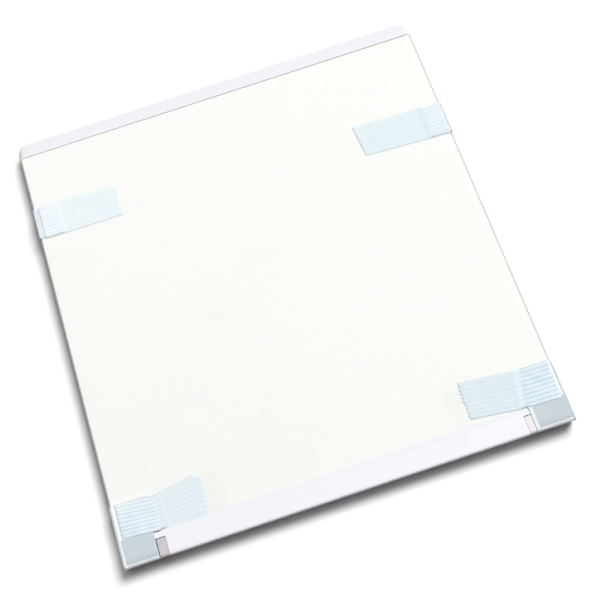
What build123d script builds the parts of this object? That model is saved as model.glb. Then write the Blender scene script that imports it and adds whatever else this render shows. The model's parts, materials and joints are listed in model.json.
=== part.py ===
from build123d import *
import os
from math import cos, radians, sin

os.makedirs("parts", exist_ok=True)

# A glass negative carrier: an upper pane hinged at the front edge on a framed lower pane.
# The origin is under the middle of the footprint, +X is to the right and +Y to the rear.

# Overall size
width = 150.0
depth = 166.8
front = -depth / 2
rear = depth / 2
half_width = width / 2

# Panes and the film gap between them
pane_thickness = 3.0
pane_inset = 0.5  # side play taken up by the clips and the leaves' skirts
pane_half = half_width - pane_inset
film_gap = 0.25
seam = 0.5  # ground bevel round the top of the upper pane
arris = 0.3  # small bevel on every other pane edge
glue_line = 0.03  # between any piece stuck on a pane and the pane

# Heights, from the surface that the carrier rests on
shelf_thickness = 0.5
bond_thickness = 0.1
lower_bottom = shelf_thickness + bond_thickness
lower_top = lower_bottom + pane_thickness
upper_bottom = lower_top + film_gap
upper_top = upper_bottom + pane_thickness

# Hinge line, and the nose that all pieces along the front share: a short upright face under the
# top, and below it an underside that slopes back
axis_y = front + 3.1
axis_z = 4.5
nose_bottom = axis_z + 1.7
nose_slope = 0.39  # how far the underside goes back for each unit down
nose_round = 0.5

# Knuckles: a grey barrel with a frosted cap over its front and outer end
knuckle_back = axis_y + 3.0
knuckle_bottom = 1.3
leaf_top = 7.5
knuckle_back_round = 1.2
nose_wall = 0.8
cap_thickness = {"left": 1.3, "right": 0.5}
cap_round = {"left": 1.1, "right": 0.4}
flange_inner = {"left": half_width - 11.9, "right": half_width - 12.9}
barrel_inner = half_width - 11.6
tongue_rear = front + 9.0
leaf_inner_rear = {"left": half_width - 13.6, "right": half_width - 9.8}
leaf_inner_front = {"left": half_width - 13.9, "right": half_width - 12.4}
leaf_rear = front + 21.3
leaf_corner = 1.2
leaf_edge = 1.3
skirt_bottom = upper_bottom + 0.05
spigot_length = 1.4
pin_radius = 1.0
pin_end = 2.2  # from the barrel's outer end to the pin
pin_depth = 8.0  # engagement in the hinge rail
press = 0.01  # radial play of a held pin
running = 0.06  # radial play of a turning pin
side_play = 0.08

# Ears, which carry the pins on the base
ear_play = {"left": 0.35, "right": 0.08}
ear_outer = {side: flange_inner[side] - play for side, play in ear_play.items()}
ear_inner = half_width - 15.2
ear_top = upper_top + 0.4
ear_front = front + 0.1
ear_top_rear = axis_y + 3.0
ear_back_round = 0.15
ear_bottom = 0.3
ear_rear = axis_y + 3.8
foot_width = 7.0
foot_front = front + 7.9
foot_rear = front + 12.1
foot_top = 1.8
foot_play = 0.1
foot_x = half_width - 14.0
foot_y = (foot_front + foot_rear) / 2

# Countersunk screws that hold the ears' feet
screw_radius = 0.6
screw_head_radius = 1.2
screw_head_height = 0.6
screw_top = 3.2
screw_play = 0.03
slot_width = 0.35
slot_depth = 0.3

# Rails and crossbar
rail_half = ear_inner - side_play
rail_top = upper_top + 0.4
rail_bottom = axis_z - 2.3
rail_rear = front + 7.2
rail_lip_rear = front + 8.7
rail_lip_edge = 0.05
rail_tab_front = front + 6.6  # the lip goes on past the ear from here
rail_tab_lean = 0.3
rail_under_front = axis_y - 0.9
rail_under_rear = axis_y + 1.6
rail_under_round = 0.6
bar_front = front + 7.8
bar_rear = front + 12.8
front_shelf_rear = front + 18.0
rear_shelf_front = rear - 14.8
rear_rail_front = rear - 6.4
rear_rail_top = upper_top - 0.45
rear_rail_corner = 4.0
rear_rail_round = 2.0
rear_rail_edge = 0.25

# Pane outlines
upper_front = front + 7.3
upper_rear = rear_rail_front - 0.15
lower_front = bar_rear + 0.1
lower_rear = rear_rail_front - 0.1
bond_inset = 1.0

# Thin clips on the side edges of the upper pane
clip_length = 12.0
clip_outer = pane_half + 0.25
clip_lip = 0.3
clip_foot = 0.2
clip_foot_reach = 5.0
clip_reach = {"left": 8.5, "right": 7.1}
clip_y = {"left": front + 131.1, "right": front + 121.2}
clip_edge = 0.12

# Filament tape
tape_width = 12.7
tape_thickness = 0.25
tape_ramp = 1.6  # where the tape comes down from a step to the pane
tape_margin = 0.1  # how far the tape runs on past the edge of what it lies on

sides = {"left": -1, "right": 1}


def span(sign, inner, outer):
    """Lowest X and length of the stretch between two distances from the middle plane."""
    return min(sign * inner, sign * outer), outer - inner


def corner_box(x_from, x_to, y_from, y_to, z_from, z_to, mode=Mode.ADD):
    """Adds or cuts a box that is given by its limits."""
    middle = ((x_from + x_to) / 2, (y_from + y_to) / 2, (z_from + z_to) / 2)
    with Locations(middle):
        Box(x_to - x_from, y_to - y_from, z_to - z_from, mode=mode)


def corner_rectangle(x_from, x_to, y_from, y_to, mode=Mode.ADD):
    """Adds or cuts a rectangle that is given by its limits, in a sketch."""
    with Locations(((x_from + x_to) / 2, (y_from + y_to) / 2)):
        Rectangle(x_to - x_from, y_to - y_from, mode=mode)


def nose_section(inset, back, top, bottom, mode=Mode.ADD):
    """Adds or cuts, in a sketch on YZ, a section with the front's nose set back by an inset."""
    Polygon(
        (front + inset, nose_bottom),
        (front + inset + nose_slope * (nose_bottom - bottom), bottom),
        (back, bottom),
        (back, top),
        (front + inset, top),
        align=None,
        mode=mode,
    )


def round_nose(section):
    """Rounds the upper front corner of a sketch on YZ."""
    fillet(section.vertices().group_by(Axis.X)[0].sort_by(Axis.Y)[-1], radius=nose_round)


def round_back(section, radius, end):
    """Rounds a rear corner of a sketch on YZ: the lower one if end is 0, the upper one if it is -1."""
    fillet(section.vertices().group_by(Axis.X)[-1].sort_by(Axis.Y)[end], radius=radius)


# Upper pane
with BuildPart() as upper_glass:
    corner_box(-pane_half, pane_half, upper_front, upper_rear, upper_bottom, upper_top)
    chamfer(upper_glass.faces().sort_by(Axis.Z)[-1].edges(), length=seam)
    chamfer(upper_glass.faces().sort_by(Axis.Z)[0].edges(), length=arris)
upper_glass.part.label = "upper_glass"
export_step(upper_glass.part, "parts/upper_glass.step")

# Lower pane
with BuildPart() as lower_glass:
    corner_box(-pane_half, pane_half, lower_front, lower_rear, lower_bottom, lower_top)
    chamfer(lower_glass.faces().sort_by(Axis.Z)[-1].edges(), length=arris)
    chamfer(lower_glass.faces().sort_by(Axis.Z)[0].edges(), length=arris)
lower_glass.part.label = "lower_glass"
export_step(lower_glass.part, "parts/lower_glass.step")

# Front crossbar: a bar with a shelf under the lower pane and a pocket for each ear's foot
with BuildPart() as front_crossbar:
    with BuildSketch(Plane.YZ.offset(-pane_half)):
        corner_rectangle(bar_front, bar_rear, 0, lower_top)
        corner_rectangle(bar_rear, front_shelf_rear, 0, shelf_thickness)
    extrude(amount=2 * pane_half)
    chamfer(front_crossbar.edges().filter_by(Axis.X).group_by(Axis.Y)[0], length=arris)
    for sign in sides.values():
        pocket_from = sign * foot_x - foot_width / 2 - foot_play
        pocket_to = sign * foot_x + foot_width / 2 + foot_play
        corner_box(
            pocket_from, pocket_to, bar_front, foot_rear + foot_play, 0, foot_top, mode=Mode.SUBTRACT
        )
        with BuildSketch(Plane.XY.offset(foot_top)):
            with Locations((sign * foot_x, foot_y)):
                Circle(screw_radius + screw_play)
        extrude(amount=screw_top - foot_top + screw_play, mode=Mode.SUBTRACT)
front_crossbar.part.label = "front_crossbar"
export_step(front_crossbar.part, "parts/front_crossbar.step")

# Rear rail: a rounded bar behind both panes, with a shelf under the lower one
with BuildPart() as rear_rail:
    corner_box(-half_width, half_width, rear_rail_front, rear, 0, rear_rail_top)
    fillet(rear_rail.edges().filter_by(Axis.Z).group_by(Axis.Y)[-1], radius=rear_rail_corner)
    top_rim = rear_rail.faces().sort_by(Axis.Z)[-1].edges().sort_by(Axis.Y)
    fillet(top_rim[1:], radius=rear_rail_round)
    fillet(rear_rail.faces().sort_by(Axis.Y)[0].edges().sort_by(Axis.Z)[-1], radius=rear_rail_edge)
    corner_box(-pane_half, pane_half, rear_shelf_front, rear_rail_front + 1, 0, shelf_thickness)
rear_rail.part.label = "rear_rail"
export_step(rear_rail.part, "parts/rear_rail.step")

# Adhesive strips between the lower pane and its two shelves
with BuildPart() as lower_glass_front_bond:
    corner_box(
        -pane_half + bond_inset,
        pane_half - bond_inset,
        lower_front + bond_inset,
        front_shelf_rear,
        shelf_thickness,
        lower_bottom,
    )
lower_glass_front_bond.part.label = "lower_glass_front_bond"
export_step(lower_glass_front_bond.part, "parts/lower_glass_front_bond.step")

with BuildPart() as lower_glass_rear_bond:
    corner_box(
        -pane_half + bond_inset,
        pane_half - bond_inset,
        rear_shelf_front,
        lower_rear - bond_inset,
        shelf_thickness,
        lower_bottom,
    )
lower_glass_rear_bond.part.label = "lower_glass_rear_bond"
export_step(lower_glass_rear_bond.part, "parts/lower_glass_rear_bond.step")

# Hinge rail: turns on the pins and is bonded to the upper pane, with a thin lip on top of the pane
with BuildPart() as hinge_rail:
    with BuildSketch(Plane.YZ.offset(-rail_half)) as rail_profile:
        with BuildLine():
            Polyline(
                (front, nose_bottom),
                (front, rail_top),
                (rail_rear, rail_top),
                (rail_lip_rear, upper_top + rail_lip_edge),
                (rail_lip_rear, upper_top),
                (rail_rear, upper_top),
                (rail_rear, upper_bottom),
                (rail_under_rear, rail_bottom),
                (rail_under_front, rail_bottom),
                close=True,
            )
        make_face()
        under_corners = rail_profile.vertices().group_by(Axis.Y)[0]
        round_nose(rail_profile)
        fillet(under_corners, radius=rail_under_round)
    extrude(amount=2 * rail_half)
    for side, sign in sides.items():
        with BuildSketch(Plane.YZ.offset(sign * rail_half)):
            with Locations((axis_y, axis_z)):
                Circle(pin_radius + running)
        extrude(amount=-sign * (pin_depth + running), mode=Mode.SUBTRACT)
        tab_start, tab_length = span(sign, rail_half, flange_inner[side] - side_play)
        with BuildSketch(Plane.YZ.offset(tab_start)):
            with BuildLine():
                Polyline(
                    (rail_tab_front, upper_top),
                    (rail_tab_front - rail_tab_lean, rail_top),
                    (rail_rear, rail_top),
                    (rail_lip_rear, upper_top + rail_lip_edge),
                    (rail_lip_rear, upper_top),
                    close=True,
                )
            make_face()
        extrude(amount=tab_length)
hinge_rail.part.label = "hinge_rail"
export_step(hinge_rail.part, "parts/hinge_rail.step")

with BuildPart() as hinge_rail_bond:
    corner_box(
        -rail_half, rail_half, rail_rear, upper_front, upper_bottom + arris, upper_top - seam
    )
hinge_rail_bond.part.label = "hinge_rail_bond"
export_step(hinge_rail_bond.part, "parts/hinge_rail_bond.step")

# Knuckles, leaves, caps, ears and pins, one set at each front corner
for side, sign in sides.items():
    cap_inner = half_width - cap_thickness[side]
    cap_start, cap_length = span(sign, cap_inner, half_width)
    barrel_start, barrel_length = span(sign, barrel_inner, cap_inner)
    knuckle_start, knuckle_length = span(sign, flange_inner[side], cap_inner)
    flange_start, flange_length = span(sign, flange_inner[side], barrel_inner - glue_line)

    # Grey barrel with a flat tongue that lies on the pane
    with BuildPart() as hinge_barrel:
        with BuildSketch(Plane.YZ.offset(barrel_start)) as section:
            nose_section(nose_wall + glue_line, knuckle_back, leaf_top, knuckle_bottom)
            round_back(section, knuckle_back_round, 0)
            corner_rectangle(axis_y, tongue_rear - glue_line, upper_top + glue_line, leaf_top)
            corner_rectangle(axis_y, rail_rear, axis_z + pin_radius, leaf_top)
            with Locations((axis_y, axis_z)):
                Circle(pin_radius + running, mode=Mode.SUBTRACT)
        extrude(amount=barrel_length)
    hinge_barrel.part.label = f"{side}_hinge_barrel"
    export_step(hinge_barrel.part, f"parts/{side}_hinge_barrel.step")

    # Frosted leaf: closes the barrel's inner end, lies on the pane and turns down over its side edge
    plate_start, plate_length = span(sign, leaf_inner_front[side], half_width)
    skirt_start, skirt_length = span(sign, pane_half + glue_line, half_width)
    skirt_end = skirt_start + skirt_length
    with BuildPart() as hinge_leaf:
        with BuildSketch(Plane.XZ.offset(-tongue_rear)) as section:
            corner_rectangle(plate_start, plate_start + plate_length, upper_top + glue_line, leaf_top)
            corner_rectangle(skirt_start, skirt_end, skirt_bottom, leaf_top)
            outer_corners = section.vertices().group_by(Axis.X)[0 if sign < 0 else -1]
            fillet(outer_corners.sort_by(Axis.Y)[-1], radius=leaf_edge)
        extrude(amount=tongue_rear - leaf_rear)
        with BuildSketch(Plane.XY.offset(skirt_bottom)) as outline:
            Polygon(
                (sign * half_width, tongue_rear),
                (sign * half_width, leaf_rear),
                (sign * leaf_inner_rear[side], leaf_rear),
                (sign * leaf_inner_front[side], tongue_rear),
                align=None,
            )
            fillet(outline.vertices().group_by(Axis.Y)[-1], radius=leaf_corner)
        extrude(amount=leaf_top - skirt_bottom, mode=Mode.INTERSECT)
        corner_box(
            flange_start, flange_start + flange_length, axis_y, tongue_rear, upper_top + glue_line, leaf_top
        )
        with BuildSketch(Plane.YZ.offset(flange_start)) as section:
            nose_section(nose_wall + glue_line, knuckle_back, leaf_top, knuckle_bottom)
            round_back(section, knuckle_back_round, 0)
            with Locations((axis_y, axis_z)):
                Circle(pin_radius + running, mode=Mode.SUBTRACT)
        extrude(amount=flange_length)
    hinge_leaf.part.label = f"{side}_hinge_leaf"
    export_step(hinge_leaf.part, f"parts/{side}_hinge_leaf.step")

    # Frosted cap over the barrel's outer end, with a nose strip along its front and a plug in its bore
    with BuildPart() as end_cap:
        with BuildSketch(Plane.YZ.offset(sign * cap_inner)) as section:
            nose_section(0, knuckle_back, leaf_top, knuckle_bottom)
            round_nose(section)
            round_back(section, knuckle_back_round, 0)
        extrude(amount=sign * cap_thickness[side])
        cap_end = tongue_rear - glue_line
        corner_box(cap_start, cap_start + cap_length, axis_y, cap_end, upper_top + glue_line, leaf_top)
        corner_box(skirt_start, skirt_end, axis_y, cap_end, skirt_bottom, leaf_top)
        outer_rim = end_cap.faces().sort_by(Axis.X)[0 if sign < 0 else -1].edges()
        fillet(outer_rim.sort_by(Axis.Z)[-1], radius=cap_round[side])
        with BuildSketch(Plane.YZ.offset(knuckle_start)) as section:
            nose_section(0, axis_y, leaf_top, knuckle_bottom)
            round_nose(section)
            nose_section(nose_wall, axis_y + 1, leaf_top + 1, knuckle_bottom - 1, mode=Mode.SUBTRACT)
        extrude(amount=knuckle_length)
        with BuildSketch(Plane.YZ.offset(sign * cap_inner)):
            with Locations((axis_y, axis_z)):
                Circle(pin_radius + running - press)
        extrude(amount=-sign * spigot_length)
    end_cap.part.label = f"{side}_end_cap"
    export_step(end_cap.part, f"parts/{side}_end_cap.step")

    # Pinkish ear on the base: a block round the pin, a neck and a screwed foot
    ear_start, ear_width = span(sign, ear_inner, ear_outer[side])
    with BuildPart() as hinge_ear:
        with BuildSketch(Plane.YZ.offset(ear_start)) as section:
            nose_section(ear_front - front, ear_top_rear, ear_top, ear_bottom)
            round_nose(section)
            round_back(section, ear_back_round, -1)
            corner_rectangle(axis_y, ear_rear, ear_bottom, axis_z)
            corner_rectangle(axis_y, foot_front, ear_bottom, foot_top)
            with Locations((axis_y, axis_z)):
                Circle(pin_radius + press, mode=Mode.SUBTRACT)
        extrude(amount=ear_width)
        foot_from = sign * foot_x - foot_width / 2
        corner_box(
            foot_from, foot_from + foot_width, foot_front, foot_rear, ear_bottom, foot_top
        )
        with Locations(Plane(origin=(sign * foot_x, foot_y, ear_bottom), z_dir=(0, 0, -1))):
            CounterSinkHole(
                radius=screw_radius + screw_play,
                counter_sink_radius=screw_head_radius + screw_play,
                depth=foot_top,
                counter_sink_angle=90,
            )
    hinge_ear.part.label = f"{side}_hinge_ear"
    export_step(hinge_ear.part, f"parts/{side}_hinge_ear.step")

    # Steel pin, held in the ear and turning in the barrel and the rail
    pin_start, pin_length = span(sign, rail_half - pin_depth, cap_inner - pin_end)
    with BuildPart() as hinge_pin:
        with BuildSketch(Plane.YZ.offset(pin_start)):
            with Locations((axis_y, axis_z)):
                Circle(pin_radius)
        extrude(amount=pin_length)
        chamfer(hinge_pin.edges().filter_by(GeomType.CIRCLE), length=arris)
    hinge_pin.part.label = f"{side}_hinge_pin"
    export_step(hinge_pin.part, f"parts/{side}_hinge_pin.step")

# Ear screws, put in from below
with BuildPart() as ear_screws:
    for sign in sides.values():
        with Locations(Plane(origin=(sign * foot_x, foot_y, ear_bottom))):
            Cone(
                screw_head_radius,
                screw_radius,
                screw_head_height,
                align=(Align.CENTER, Align.CENTER, Align.MIN),
            )
            Cylinder(
                screw_radius, screw_top - ear_bottom, align=(Align.CENTER, Align.CENTER, Align.MIN)
            )
            Box(
                2 * screw_head_radius,
                slot_width,
                slot_depth,
                align=(Align.CENTER, Align.CENTER, Align.MIN),
                mode=Mode.SUBTRACT,
            )
ear_screws.part.label = "ear_screws"
export_step(ear_screws.part, "parts/ear_screws.step")

# Clips folded round the side edges of the upper pane; the foot spaces it from the lower one
for side, sign in sides.items():
    clip_front = clip_y[side] - clip_length / 2
    lip_start, lip_length = span(sign, half_width - clip_reach[side], clip_outer)
    web_start, web_length = span(sign, pane_half + glue_line, clip_outer)
    foot_start, foot_length = span(sign, half_width - clip_foot_reach, clip_outer)
    with BuildPart() as edge_clip:
        with BuildSketch(Plane.XZ.offset(-clip_front)):
            corner_rectangle(
                lip_start, lip_start + lip_length, upper_top + glue_line, upper_top + clip_lip
            )
            corner_rectangle(
                web_start, web_start + web_length, upper_bottom - clip_foot, upper_top + clip_lip
            )
            corner_rectangle(
                foot_start, foot_start + foot_length, upper_bottom - clip_foot, upper_bottom - glue_line
            )
        extrude(amount=-clip_length)
        fillet(edge_clip.edges().filter_by(Axis.Y).group_by(Axis.Z)[-1], radius=clip_edge)
    edge_clip.part.label = f"{side}_edge_clip"
    export_step(edge_clip.part, f"parts/{side}_edge_clip.step")

# Tape strips: each lies on a leaf or a clip, comes down its edge and lies on the pane.
# side, distances of the outer end, the step and the inner end from the side edge, height of what is
# under the outer part, distance of the middle line from the front edge, skew in degrees
tapes = {
    "front_left_tape": ("left", 1.9, 14.0, 31.2, leaf_top, 15.6, 1.5),
    "front_right_tape": ("right", 1.6, 12.4, 31.6, leaf_top, 15.8, -4.0),
    "rear_left_tape": ("left", 2.1, clip_reach["left"], 31.3, upper_top + clip_lip, 130.7, -1.6),
    "rear_right_tape": ("right", 0.6, clip_reach["right"], 33.0, upper_top + clip_lip, 121.9, -2.4),
}
for name, (side, outer, step, inner, step_top, middle, skew) in tapes.items():
    sign = sides[side]
    along = (sign * cos(radians(skew)), sign * sin(radians(skew)), 0)
    across = (sign * sin(radians(skew)), -sign * cos(radians(skew)), 0)
    start = Plane(
        origin=(sign * (half_width - (outer + inner) / 2), front + middle, 0), x_dir=along, z_dir=across
    )
    outer_end, inner_end = (inner - outer) / 2, (outer - inner) / 2
    step_edge = (inner + outer) / 2 - step - tape_margin - tape_width / 2 * abs(sin(radians(skew)))
    under = [
        (outer_end, step_top),
        (step_edge, step_top),
        (step_edge - tape_ramp, upper_top),
        (inner_end, upper_top),
    ]
    over = [(reach, height + tape_thickness) for reach, height in reversed(under)]
    with BuildPart() as tape:
        with BuildSketch(start):
            with BuildLine():
                Polyline(*under, *over, close=True)
            make_face()
        extrude(amount=tape_width / 2, both=True)
    tape.part.label = name
    export_step(tape.part, f"parts/{name}.step")
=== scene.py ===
import json
from math import cos, pi, radians, sin
from random import Random

import bmesh
import bpy
from mathutils import Matrix, Vector, noise


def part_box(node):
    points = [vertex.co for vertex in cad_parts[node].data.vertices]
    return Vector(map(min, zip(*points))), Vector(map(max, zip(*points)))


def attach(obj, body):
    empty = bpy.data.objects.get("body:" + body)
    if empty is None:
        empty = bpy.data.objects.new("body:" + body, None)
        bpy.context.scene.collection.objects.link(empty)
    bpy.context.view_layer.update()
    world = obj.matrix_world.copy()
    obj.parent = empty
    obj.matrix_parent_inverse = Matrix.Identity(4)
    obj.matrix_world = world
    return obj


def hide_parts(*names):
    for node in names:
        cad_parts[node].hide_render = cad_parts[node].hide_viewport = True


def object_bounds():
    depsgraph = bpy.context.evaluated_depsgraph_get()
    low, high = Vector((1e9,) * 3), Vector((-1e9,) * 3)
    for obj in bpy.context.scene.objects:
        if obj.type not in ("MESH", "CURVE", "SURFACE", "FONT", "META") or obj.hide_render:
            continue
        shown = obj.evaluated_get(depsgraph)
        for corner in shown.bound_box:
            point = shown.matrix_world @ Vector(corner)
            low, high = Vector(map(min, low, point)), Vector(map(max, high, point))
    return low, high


MM = 0.001
SIDE_REACH = 70 * MM  # from the middle to where a tint of one side is full

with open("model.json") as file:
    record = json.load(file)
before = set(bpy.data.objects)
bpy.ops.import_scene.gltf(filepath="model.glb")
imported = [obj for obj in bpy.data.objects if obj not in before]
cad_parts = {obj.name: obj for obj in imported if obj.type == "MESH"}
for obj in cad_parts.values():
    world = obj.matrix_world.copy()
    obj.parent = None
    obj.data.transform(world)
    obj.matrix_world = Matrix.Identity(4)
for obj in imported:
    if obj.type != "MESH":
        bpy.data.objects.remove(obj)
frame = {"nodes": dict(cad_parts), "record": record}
cad_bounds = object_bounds()
nodes = frame["nodes"]


# ---------------------------------------------------------------- material tools


class Shader:
    """A Principled material, with short ways to add the nodes that give it detail."""

    def __init__(self, name, **constants):
        self.material = bpy.data.materials.new(name)
        self.material.use_nodes = True
        self.tree = self.material.node_tree
        self.bsdf = self.tree.nodes["Principled BSDF"]
        self.place = self.add("ShaderNodeTexCoord")
        for socket, value in constants.items():
            self.bsdf.inputs[socket.replace("_", " ")].default_value = value

    def add(self, kind, **settings):
        node = self.tree.nodes.new(kind)
        for key, value in settings.items():
            setattr(node, key, value)
        return node

    def put(self, socket, source):
        """Feeds a socket with another socket or with a fixed value."""
        if isinstance(source, bpy.types.NodeSocket):
            self.tree.links.new(source, socket)
        else:
            socket.default_value = source

    def math(self, operation, a, b=0.0, clamp=False):
        node = self.add("ShaderNodeMath", operation=operation, use_clamp=clamp)
        self.put(node.inputs[0], a)
        self.put(node.inputs[1], b)
        return node.outputs[0]

    def grain(self, size, detail=2.0, stretch=(1, 1, 1), rough=0.5, shift=(0, 0, 0)):
        """Noise from 0 to 1 whose features are about size metres, longer along a stretched axis."""
        mapping = self.add("ShaderNodeMapping")
        self.put(mapping.inputs["Vector"], self.place.outputs["Object"])
        mapping.inputs["Scale"].default_value = [1 / (size * s) for s in stretch]
        mapping.inputs["Location"].default_value = shift
        node = self.add("ShaderNodeTexNoise")
        self.put(node.inputs["Vector"], mapping.outputs[0])
        node.inputs["Scale"].default_value = 1.0
        node.inputs["Detail"].default_value = detail
        node.inputs["Roughness"].default_value = rough
        return node.outputs["Fac"]

    def scaled(self, value, low, high, from_low=0.0, from_high=1.0):
        """Maps a value's range onto low to high."""
        node = self.add("ShaderNodeMapRange")
        self.put(node.inputs["Value"], value)
        ends = {"From Min": from_low, "From Max": from_high, "To Min": low, "To Max": high}
        for socket, end in ends.items():
            node.inputs[socket].default_value = end
        return node.outputs[0]

    def past(self, value, place, softness):
        """0 before a place on a scale and 1 after it, changing over a softness each way."""
        return self.scaled(value, 0.0, 1.0, place - softness, place + softness)

    def axis(self, letter, source="Object"):
        node = self.add("ShaderNodeSeparateXYZ")
        self.put(node.inputs[0], self.place.outputs[source])
        return node.outputs[letter]

    def blend(self, factor, a, b, mode="MIX"):
        node = self.add("ShaderNodeMix", data_type="RGBA", blend_type=mode)
        self.put(node.inputs["Factor"], factor)
        color_a, color_b, color_result = 6, 7, 2  # the node's sockets for colours
        self.put(node.inputs[color_a], a)
        self.put(node.inputs[color_b], b)
        return node.outputs[color_result]

    def by_side(self, color, left, right):
        """Multiplies a colour by one tint at the left edge and by another at the right edge."""
        to_right = self.scaled(self.axis("X"), 0.0, 1.0, -SIDE_REACH, SIDE_REACH)
        tint = self.blend(to_right, left, right)
        return self.blend(1.0, color, tint, "MULTIPLY")

    def spot(self, x, y, radius_x, radius_y):
        """1 in the middle of a soft oval patch on the XY plane, 0 outside it."""
        dx = self.math("DIVIDE", self.math("SUBTRACT", self.axis("X"), x), radius_x)
        dy = self.math("DIVIDE", self.math("SUBTRACT", self.axis("Y"), y), radius_y)
        reach = self.math("ADD", self.math("MULTIPLY", dx, dx), self.math("MULTIPLY", dy, dy))
        return self.scaled(reach, 1.0, 0.0, 0.0, 1.0)

    def color(self, source):
        self.put(self.bsdf.inputs["Base Color"], source)

    def roughness(self, source):
        self.put(self.bsdf.inputs["Roughness"], source)

    def bump(self, height, distance, strength=1.0):
        """Adds a bump of that many metres on top of any earlier one."""
        node = self.add("ShaderNodeBump")
        node.inputs["Strength"].default_value = strength
        node.inputs["Distance"].default_value = distance
        self.put(node.inputs["Height"], height)
        if self.bsdf.inputs["Normal"].is_linked:
            self.put(node.inputs["Normal"], self.bsdf.inputs["Normal"].links[0].from_socket)
        self.put(self.bsdf.inputs["Normal"], node.outputs[0])


def rgb(red, green, blue):
    """A linear colour from display values of 0 to 255."""

    def linear(value):
        value /= 255
        return value / 12.92 if value <= 0.04045 else ((value + 0.055) / 1.055) ** 2.4

    return (linear(red), linear(green), linear(blue), 1.0)


# ---------------------------------------------------------------- materials


# Faint darker yellowish patches on the etched pane: one just beyond the inner end of each front
# tape, and two smudges near its middle
PATCH_GAP = 2.5 * MM
PATCH_RADII = (5 * MM, 10 * MM)
SMUDGES = ((-1.5 * MM, 8.0 * MM), (-24.0 * MM, -8.5 * MM))
SMUDGE_RADII = (7 * MM, 5 * MM)
SMUDGE_STRENGTH = 0.35


def pane_patches(shader):
    """How strongly each place on the etched pane is darkened toward yellowish grey by the patches
    and smudges.
    """
    marks = 0.0
    for name, sign in (("front_left_tape", 1), ("front_right_tape", -1)):
        low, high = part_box(name)
        end = high.x if sign > 0 else low.x
        middle = (low.y + high.y) / 2
        beyond = shader.spot(end + sign * PATCH_GAP, middle, *PATCH_RADII)
        marks = shader.math("MAXIMUM", beyond, marks)
    for x, y in SMUDGES:
        smudge = shader.spot(x, y, *SMUDGE_RADII)
        marks = shader.math("MAXIMUM", shader.math("MULTIPLY", smudge, SMUDGE_STRENGTH), marks)
    patches = shader.scaled(shader.grain(6 * MM, 4.0), 0.1, 0.3, 0.3, 0.7)
    return shader.math("MULTIPLY", marks, patches)


def etched_glass():
    """Etched upper pane: cream and faintly cloudy on top, with painted light toward the rear,
    greyer at its ground edges, and painted shade on the right one.
    """
    shader = Shader(
        "etched_glass",
        IOR=1.5,
        Specular_IOR_Level=0.4,
        Subsurface_Weight=0.35,
        Subsurface_Scale=2 * MM,
    )
    low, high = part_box("upper_glass")
    from_front = shader.scaled(shader.axis("Y"), 0.0, 1.0, low.y, high.y)
    # Painted light: the pane's top grows lighter toward the rear
    rear_painted_light = shader.math("MULTIPLY", from_front, 0.8)
    cloud_tone = shader.math("MULTIPLY", shader.grain(30 * MM, 3.0), 0.25)
    tone = shader.math("ADD", rear_painted_light, cloud_tone)
    clean = shader.blend(tone, rgb(221, 221, 218), rgb(228, 228, 225))
    face = shader.blend(pane_patches(shader), clean, rgb(205, 204, 190))
    flatness = shader.math("ABSOLUTE", shader.axis("Z", "Normal"))
    on_face = shader.past(flatness, 0.85, 0.1)
    # The ground edges are greyer, and the right one also carries painted shade
    ground = shader.by_side(
        rgb(200, 204, 203), left=(1, 1, 1, 1), right=(0.72, 0.73, 0.75, 1)
    )
    shader.color(shader.blend(on_face, ground, face))
    etch = shader.grain(0.18 * MM, 4.0, rough=0.7)
    shader.roughness(shader.scaled(etch, 0.45, 0.62))
    shader.bump(etch, 0.01 * MM)
    return shader.material


def clear_glass():
    """Polished lower pane, with a breath of dust on it and ground edges."""
    shader = Shader("clear_glass", IOR=1.52, Transmission_Weight=1.0)
    shader.color(shader.blend(shader.grain(50 * MM), rgb(243, 250, 247), rgb(247, 252, 250)))
    flatness = shader.math("ABSOLUTE", shader.axis("Z", "Normal"))
    polish = shader.scaled(shader.grain(4 * MM, 4.0), 0.0, 0.05, 0.45, 0.75)
    ground = shader.scaled(flatness, 0.35, 0.0, 0.5, 0.9)
    shader.roughness(shader.math("MAXIMUM", polish, ground))
    shader.bump(shader.grain(20 * MM), 0.02 * MM)
    return shader.material


def white_plastic():
    """Satin white plastic with a faint cool cast, fine moulded grain and a few hairline rubs."""
    shader = Shader(
        "white_plastic",
        IOR=1.46,
        Specular_IOR_Level=0.35,
        Subsurface_Weight=0.1,
        Subsurface_Scale=1 * MM,
    )
    cast = shader.grain(20 * MM, 2.0)
    shader.color(shader.blend(cast, rgb(217, 216, 221), rgb(220, 219, 224)))
    skin = shader.grain(0.4 * MM, 3.0)
    rubs = shader.grain(0.6 * MM, 2.0, stretch=(14, 1, 1))
    shader.roughness(shader.scaled(shader.math("ADD", skin, rubs), 0.38, 0.55, 0.7, 1.4))
    shader.bump(skin, 0.012 * MM)
    shader.bump(rubs, 0.006 * MM)
    return shader.material


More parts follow.
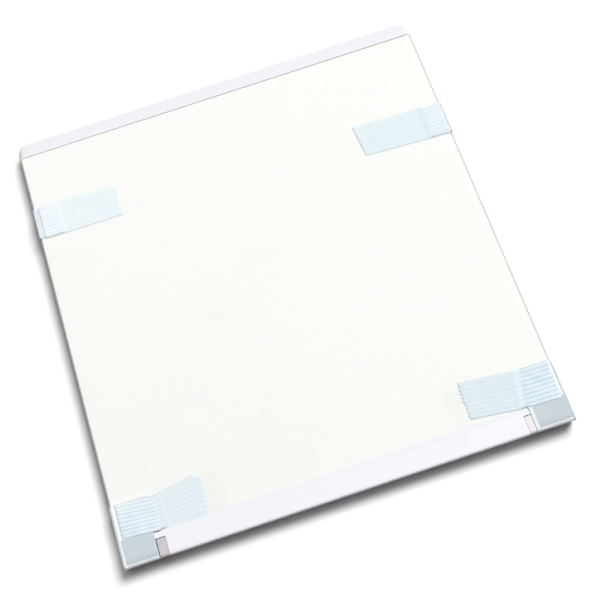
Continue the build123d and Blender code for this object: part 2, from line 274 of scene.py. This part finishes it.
def grey_plastic():
    """Cool grey satin plastic of the hinge barrels, slightly streaked across.

    It is darker on the right, and on both barrels painted shade darkens the front of the nose.
    """
    shader = Shader("grey_plastic", IOR=1.46, Specular_IOR_Level=0.35)
    mottle = shader.grain(3 * MM, 3.0)
    base = shader.blend(mottle, rgb(183, 192, 200), rgb(191, 196, 205))
    streak = shader.scaled(shader.grain(1.2 * MM, 3.0, stretch=(1, 8, 8)), 0.0, 0.5)
    streaked = shader.blend(streak, base, rgb(180, 191, 197))
    sided = shader.by_side(streaked, left=(0.94, 0.95, 0.94, 1), right=(0.85, 0.87, 0.85, 1))
    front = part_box("left_hinge_barrel")[0].y
    # Painted shade over the front of the nose, where its rounded front turns away from the lamps
    nose_shade_tone, nose_reach = 0.85, 2 * MM
    painted_nose_shade = shader.scaled(shader.axis("Y"), nose_shade_tone, 1.0, front, front + nose_reach)
    shader.color(shader.blend(1.0, sided, painted_nose_shade, "MULTIPLY"))
    shader.roughness(shader.scaled(mottle, 0.35, 0.5))
    shader.bump(shader.grain(0.3 * MM, 3.0), 0.01 * MM)
    return shader.material


def tinted_plastic():
    """Pinkish translucent plastic of the ears, the left one greyer."""
    shader = Shader(
        "tinted_plastic", IOR=1.46, Subsurface_Weight=0.6, Subsurface_Scale=1.5 * MM
    )
    cloud = shader.grain(2 * MM, 3.0)
    pink = shader.blend(cloud, rgb(204, 198, 202), rgb(211, 206, 209))
    shader.color(shader.by_side(pink, left=(0.78, 0.78, 0.82, 1), right=(0.99, 0.99, 0.96, 1)))
    shader.roughness(shader.scaled(cloud, 0.22, 0.34))
    shader.bump(shader.grain(0.5 * MM, 2.0), 0.01 * MM)
    return shader.material


# How far in from the outermost sides the frosted pieces take their painted highlight line, their
# painted side light and shade, and the clips' painted fold shade
HIGHLIGHT_LINE = 1.6 * MM
SHADED_SIDE = 1.0 * MM
SIDE_SOFTNESS = 0.1 * MM
CLIP_FOLD_SHADE = 0.5 * MM
FOLD_SOFTNESS = 0.05 * MM


def frosted_plastic():
    """Milky white plastic of the leaves, the clips, the end caps and their nose strips.

    At the hinge a painted highlight runs as a pale line where the top turns down to the side, and
    beyond it the side carries painted light on the left and painted shade on the right. The clips,
    behind the middle of the carrier, have painted shade in grey along their fold instead.
    """
    shader = Shader(
        "frosted_plastic",
        IOR=1.46,
        Specular_IOR_Level=0.15,
        Subsurface_Weight=0.5,
        Subsurface_Scale=1 * MM,
    )
    cloud = shader.grain(1.5 * MM, 3.0)
    milk = shader.blend(cloud, rgb(211, 212, 217), rgb(219, 220, 224))
    outermost = -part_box("left_hinge_leaf")[0].x
    outward = shader.math("SUBTRACT", shader.math("ABSOLUTE", shader.axis("X")), outermost)
    # Painted highlight: a pale line where the top turns down to the side
    painted_highlight = shader.math("MULTIPLY", shader.past(outward, -HIGHLIGHT_LINE, SIDE_SOFTNESS), 0.8)
    highlighted_milk = shader.blend(painted_highlight, milk, rgb(236, 238, 240))
    # Painted light on the left side and painted shade on the right side, beyond the highlight line
    side_light_and_shade = shader.by_side(milk, left=(1.04, 1.05, 1.03, 1), right=(0.72, 0.72, 0.75, 1))
    at_hinge = shader.blend(shader.past(outward, -SHADED_SIDE, SIDE_SOFTNESS), highlighted_milk, side_light_and_shade)
    # Painted shade: grey along the clips' outer fold
    fold_shade = shader.math("MULTIPLY", shader.past(outward, -CLIP_FOLD_SHADE, FOLD_SOFTNESS), 0.8)
    at_clips = shader.blend(fold_shade, milk, rgb(150, 153, 158))
    behind_middle = shader.past(shader.axis("Y"), 5 * MM, 5 * MM)
    shader.color(shader.blend(behind_middle, at_hinge, at_clips))
    shader.roughness(shader.scaled(cloud, 0.32, 0.48))
    shader.bump(shader.grain(0.4 * MM, 3.0), 0.01 * MM)
    return shader.material


def steel():
    """Turned steel, with fine rings round the pin."""
    shader = Shader("steel", Metallic=1.0, IOR=2.5)
    rings = shader.grain(0.06 * MM, 3.0, stretch=(1, 60, 60))
    shader.color(shader.blend(rings, rgb(170, 172, 176), rgb(196, 197, 200)))
    shader.roughness(shader.scaled(rings, 0.2, 0.38))
    shader.bump(rings, 0.004 * MM)
    return shader.material


def adhesive():
    """Cloudy set adhesive."""
    shader = Shader("adhesive", IOR=1.45, Subsurface_Weight=0.5, Subsurface_Scale=1 * MM)
    bubbles = shader.grain(0.8 * MM, 4.0)
    shader.color(shader.blend(bubbles, rgb(212, 213, 208), rgb(230, 231, 226)))
    shader.roughness(shader.scaled(bubbles, 0.25, 0.6))
    shader.bump(bubbles, 0.02 * MM)
    return shader.material


def slope_light_and_shade(shader, lift, rearward):
    """A gain that evens out the slope from a leaf or a clip down to the pane.

    It paints shade onto the slope on the left and light onto the slope on the right, where the
    lamps leave it too pale and too dark. The rear strips need less of it.
    """
    on_slope = shader.math("MULTIPLY", lift, shader.math("SUBTRACT", 1.0, lift))
    weighed = shader.math("MULTIPLY", on_slope, shader.scaled(rearward, 1.0, 0.3))
    gain = shader.scaled(shader.axis("X"), -0.55, 0.85, -60 * MM, 60 * MM)
    return shader.math("ADD", shader.math("MULTIPLY", weighed, gain), 1.0)


def filament_tape():
    """Blue-tinted film over glass filaments, striped more strongly on the leaves and the clips.

    The mesh's rib attribute says where a filament bundle lies, and its lift attribute how far the
    film is raised above the pane. The strips near the hinge and on the right are a little bluer.
    """
    shader = Shader(
        "filament_tape", IOR=1.46, Specular_IOR_Level=0.12, Transmission_Weight=0.08
    )
    rib = shader.add("ShaderNodeAttribute", attribute_name="rib").outputs["Fac"]
    lift = shader.add("ShaderNodeAttribute", attribute_name="lift").outputs["Fac"]
    rearward = shader.scaled(shader.axis("Y"), 0.0, 1.0, -70 * MM, 50 * MM)
    film = shader.blend(rearward, rgb(207, 219, 225), rgb(219, 229, 232))
    bundle = shader.blend(rearward, rgb(217, 224, 228), rgb(225, 232, 234))
    raised_film = shader.blend(rearward, rgb(192, 209, 219), rgb(219, 227, 232))
    raised_bundle = shader.blend(rearward, rgb(222, 229, 234), rgb(231, 236, 238))
    patches = shader.scaled(shader.grain(3 * MM, 3.0), -0.35, 0.35, 0.25, 0.75)
    stripe = shader.math("ADD", rib, patches, clamp=True)
    low = shader.blend(stripe, film, bundle)
    high = shader.blend(stripe, raised_film, raised_bundle)
    raised = shader.scaled(lift, 0.0, 1.0, 0.85, 0.98)
    striped = shader.blend(raised, low, high)
    body = shader.by_side(striped, left=(1, 1, 1, 1), right=(0.92, 0.955, 0.97, 1))
    # The slopes down to the pane carry painted shade on the left and painted light on the right
    shader.color(shader.blend(1.0, body, slope_light_and_shade(shader, lift, rearward), "MULTIPLY"))
    threads = shader.grain(0.12 * MM, 3.0, stretch=(80, 1, 1))
    shader.roughness(shader.scaled(threads, 0.25, 0.45))
    shader.bump(threads, 0.01 * MM)
    return shader.material


def floor_paint():
    """Plain white studio floor with a barely visible grain."""
    shader = Shader("floor_paint", Roughness=0.9, Specular_IOR_Level=0.1)
    grain = shader.grain(10 * MM)
    shader.color(shader.blend(grain, (0.82, 0.82, 0.82, 1), (0.83, 0.83, 0.83, 1)))
    return shader.material


MATERIALS = {
    "etched_glass": etched_glass(),
    "clear_glass": clear_glass(),
    "white_plastic": white_plastic(),
    "grey_plastic": grey_plastic(),
    "tinted_plastic": tinted_plastic(),
    "frosted_plastic": frosted_plastic(),
    "steel": steel(),
    "adhesive": adhesive(),
    "filament_tape": filament_tape(),
}


def dress_cad_nodes():
    """Gives every CAD node the material of its slot."""
    for subpart in frame["record"]["subparts"]:
        mesh = nodes[subpart["node"]].data
        mesh.materials.clear()
        mesh.materials.append(MATERIALS[subpart["material_slot"]])


# ---------------------------------------------------------------- filament tape

FILM = 0.09 * MM
RIB_HEIGHT = 0.08 * MM
RIBS = 9
STEPS_PER_RIB = 8
STEPS_ALONG = 110
AIR = 0.02 * MM  # between the tape and what it lies on
TAPER = 0.5 * MM  # over which the film thins out to its rim
RIM = 0.15  # how much of its thickness is left there
DRAPE = 0.8 * MM  # over which the long edges come down, beside a clip and past a leaf's step
END_MARGIN = 0.3 * MM  # between a strip's ends and those of its CAD box
EDGE_WAVE = 0.12 * MM  # how far the long edges wander
BUNDLE_WANDER = 0.18  # how far a filament bundle wanders, in rib spacings

# Teeth that cutters leave across an end
OUTER_TEETH, OUTER_TOOTH, OUTER_PHASE = 8, 0.25 * MM, 0.13
RAGGED_TEETH, RAGGED_TOOTH, RAGGED_WAVE = 10, 0.7 * MM, 0.5 * MM
BLADE_TEETH, BLADE_TOOTH = 18, 0.08 * MM

# Each strip bends a little where it steps down. Directions are in degrees from the X axis, for the
# outer and the inner stretch, counted the same way as the CAD's skew. Widths are for the outer and
# the inner end, in mm. The shift moves the strip to the rear, in mm. The step's edge lies so many
# mm outside the inner limit of what is under the strip, and slants by so much for each mm across.
# The ramp is how many mm the strip takes to come down from it.
TAPES = {
    "front_left_tape": {
        "under": "left_hinge_leaf",
        "directions": (-5.0, 4.4),
        "widths": (11.9, 15.1),
        "shift": -1.0,
        "step": (0.0, 0.02),
        "ramp": 4.0,
    },
    "front_right_tape": {
        "under": "right_hinge_leaf",
        "directions": (-1.6, -6.9),
        "widths": (13.6, 13.4),
        "shift": 0.0,
        "step": (1.6, 0.19),
        "ramp": 4.0,
    },
    "rear_left_tape": {
        "under": "left_edge_clip",
        "directions": (-1.6, -1.6),
        "widths": (13.4, 12.2),
        "shift": 0.0,
        "step": (-0.1, 0.0),
        "ramp": 2.0,
    },
    "rear_right_tape": {
        "under": "right_edge_clip",
        "directions": (-2.4, -2.4),
        "widths": (13.6, 12.7),
        "shift": 0.0,
        "step": (-0.1, 0.0),
        "ramp": 2.0,
    },
}


def smooth(value):
    """Eases from 0 to 1 as the value does, and stays there outside that range."""
    value = min(max(value, 0.0), 1.0)
    return value * value * (3 - 2 * value)


def saw(value, teeth, depth):
    """The zigzag that a toothed cutter leaves, from 0 to depth."""
    phase = (value * teeth) % 1.0
    return depth * (1 - abs(2 * phase - 1))


def waver(reach, across, layer, per_metre, per_width):
    """Smooth noise from -1 to 1 over a strip. Each layer has a noise of its own."""
    return noise.noise(Vector((reach * per_metre, layer, across * per_width)))


def make_tape(name, cut):
    """A ribbed strip that lies on a leaf or a clip and steps down from it to the pane.

    cut(across) gives how far the inner end stands back, in metres, at 0 to 1 across the strip
    from its front edge to its rear edge. A reach is counted outward from the strip's centre.
    """
    strip = TAPES[name]
    drift = Random(name).uniform(-9, 9)
    low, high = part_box(name)
    centre = (low + high) / 2
    centre.y += strip["shift"] * MM
    sign = 1 if centre.x > 0 else -1
    half_length = (high.x - low.x) / 2 - END_MARGIN
    outer_width, inner_width = (width * MM for width in strip["widths"])
    outer_slope, inner_slope = (sin(radians(turn)) for turn in strip["directions"])

    pane_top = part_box("upper_glass")[1].z
    lying_z = pane_top + AIR
    under_low, under_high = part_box(strip["under"])
    rise = under_high.z - pane_top
    under_end = under_low.x if sign > 0 else under_high.x
    step_inset, slant = strip["step"]
    step = (under_end - centre.x) * sign + step_inset * MM
    ramp = strip["ramp"] * MM
    over_clip = strip["under"].endswith("clip")

    bm = bmesh.new()
    rib_layer = bm.verts.layers.float.new("rib")
    lift_layer = bm.verts.layers.float.new("lift")
    rows = []
    across_steps = RIBS * STEPS_PER_RIB
    for i in range(STEPS_ALONG + 1):
        along = i / STEPS_ALONG
        row = []
        for j in range(across_steps + 1):
            across = j / across_steps
            outer_end = half_length - saw(across + OUTER_PHASE, OUTER_TEETH, OUTER_TOOTH)
            inner_end = cut(across) - half_length
            reach = outer_end + (inner_end - outer_end) * along

            past_step = max(step - reach, 0.0) / (step + half_length)
            width = outer_width + (inner_width - outer_width) * past_step
            middle = min(reach, step) * inner_slope + max(reach - step, 0.0) * outer_slope
            side = sign * middle + (across - 0.5) * width
            side += EDGE_WAVE * waver(reach, across, drift, 90, 0.7)

            step_edge = step + slant * (across - 0.5) * width
            from_side = min(across, 1 - across) * width
            hanging = 1.0 if over_clip else smooth((step_edge - reach) / DRAPE)
            lift = smooth((reach - (step_edge - ramp)) / ramp)
            lift *= 1 - hanging * (1 - smooth(from_side / DRAPE))

            wander = BUNDLE_WANDER * waver(reach, across, drift + 3, 70, 2.2)
            swell = 0.75 + 0.35 * waver(reach, across, drift, 160, 14)
            rib = (0.5 - 0.5 * cos(2 * pi * (across * RIBS + wander))) ** 0.8
            from_rim = min(from_side, outer_end - reach, reach - inner_end)
            thickness = (FILM + RIB_HEIGHT * rib * swell) * min(RIM + from_rim / TAPER, 1.0)

            top = lying_z + rise * lift + thickness
            vertex = bm.verts.new((centre.x + sign * reach, centre.y + side, top))
            vertex[rib_layer] = rib
            vertex[lift_layer] = lift
            row.append(vertex)
        rows.append(row)
    close_sheet(bm, rows, lambda vertex: lying_z + rise * vertex[lift_layer])

    mesh = bpy.data.meshes.new(name + "_film")
    bm.to_mesh(mesh)
    bm.free()
    for polygon in mesh.polygons:
        polygon.use_smooth = abs(polygon.normal.z) > 0.5  # all but the steep rim
    tape = bpy.data.objects.new(name + "_film", mesh)
    bpy.context.scene.collection.objects.link(tape)
    mesh.materials.append(MATERIALS["filament_tape"])
    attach(tape, "upper_leaf")
    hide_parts(name)


def close_sheet(bm, rows, underside):
    """Joins rows of vertices into a sheet, and closes it with a back and a rim.

    underside(vertex) gives the height of the back under that vertex.
    """
    back = []
    for row in rows:
        back.append([bm.verts.new((v.co.x, v.co.y, underside(v))) for v in row])
    for layer in (bm.verts.layers.float["rib"], bm.verts.layers.float["lift"]):
        for row, under in zip(rows, back):
            for v, w in zip(row, under):
                w[layer] = v[layer]
    last_row, last = len(rows) - 1, len(rows[0]) - 1
    for i in range(last_row):
        for j in range(last):
            bm.faces.new((rows[i][j], rows[i + 1][j], rows[i + 1][j + 1], rows[i][j + 1]))
            bm.faces.new((back[i][j], back[i][j + 1], back[i + 1][j + 1], back[i + 1][j]))
    for i in range(last_row):
        bm.faces.new((rows[i][0], back[i][0], back[i + 1][0], rows[i + 1][0]))
        bm.faces.new((rows[i + 1][last], back[i + 1][last], back[i][last], rows[i][last]))
    for j in range(last):
        bm.faces.new((rows[0][j + 1], back[0][j + 1], back[0][j], rows[0][j]))
        bm.faces.new(
            (rows[last_row][j], back[last_row][j], back[last_row][j + 1], rows[last_row][j + 1])
        )
    bmesh.ops.recalc_face_normals(bm, faces=bm.faces)


def snipped(across):
    """A slanted cut with its rear corner snipped off."""
    slanted = 0.5 * MM - 1.0 * MM * across
    snip_start, snip_depth = 0.82, 2.6 * MM
    return slanted + snip_depth * smooth((across - snip_start) / (1 - snip_start))


def ragged(across):
    """A torn cut."""
    wave = RAGGED_WAVE * noise.noise(Vector((across * 5, 2, 0)))
    return saw(across, RAGGED_TEETH, RAGGED_TOOTH) + wave


def sawn(lean):
    """A cut by a fine toothed blade. Its front corner stands back by lean."""
    return lambda across: lean * (1 - across) + saw(across, BLADE_TEETH, BLADE_TOOTH)


def make_tapes():
    make_tape("front_left_tape", snipped)
    make_tape("front_right_tape", ragged)
    make_tape("rear_left_tape", sawn(0.6 * MM))
    make_tape("rear_right_tape", sawn(1.2 * MM))


# ---------------------------------------------------------------- stage, light and camera


FLOOR_HALF = 6.0  # metres


def make_floor():
    bm = bmesh.new()
    bmesh.ops.create_grid(bm, x_segments=8, y_segments=8, size=FLOOR_HALF)
    mesh = bpy.data.meshes.new("studio_floor")
    bm.to_mesh(mesh)
    bm.free()
    mesh.materials.append(floor_paint())
    floor = bpy.data.objects.new("studio_floor", mesh)
    floor.location.z = cad_bounds[0][2]
    bpy.context.scene.collection.objects.link(floor)


def add_sun(name, toward, irradiance, spread):
    """A distant lamp that shines from a direction, as wide as a large softbox."""
    data = bpy.data.lights.new(name, "SUN")
    data.energy = irradiance
    data.angle = radians(spread)
    lamp = bpy.data.objects.new(name, data)
    lamp.rotation_euler = Vector(toward).to_track_quat("Z", "Y").to_euler()
    bpy.context.scene.collection.objects.link(lamp)


def make_lights():
    """A broad key from the right rear, a weaker lamp from the left and a faint even fill."""
    add_sun("key", (0.48, 0.27, 1.0), 3.6, 31)
    add_sun("side", (-0.22, 0.11, 1.0), 0.65, 41)
    world = bpy.data.worlds.new("fill")
    world.use_nodes = True
    background = world.node_tree.nodes["Background"]
    background.inputs["Color"].default_value = (0.98, 0.99, 1.0, 1.0)
    background.inputs["Strength"].default_value = 0.06
    bpy.context.scene.world = world


def make_camera():
    """Looks down at the front edge, a little from the left, turned so that the right side rises."""
    elevation, azimuth, roll = radians(63.32), radians(3.98), radians(14.65)
    distance = 484.1 * MM
    target = Vector((4.7 * MM, -13.0 * MM, 7.0 * MM))
    level = cos(elevation)
    forward = Vector((sin(azimuth) * level, cos(azimuth) * level, -sin(elevation)))
    level_right = forward.cross(Vector((0, 0, 1))).normalized()
    level_up = level_right.cross(forward)
    up = level_up * cos(roll) + level_right * sin(roll)
    right = forward.cross(up)
    turn = Matrix((right, up, -forward)).transposed().to_4x4()
    data = bpy.data.cameras.new("camera")
    data.lens = 86.4
    data.sensor_width = 36.0
    camera = bpy.data.objects.new("camera", data)
    camera.matrix_world = Matrix.Translation(target - forward * distance) @ turn
    bpy.context.scene.collection.objects.link(camera)
    bpy.context.scene.camera = camera


dress_cad_nodes()
make_tapes()
make_floor()
make_lights()
make_camera()
bpy.context.scene.view_settings.view_transform = "Standard"

bpy.context.view_layer.update()
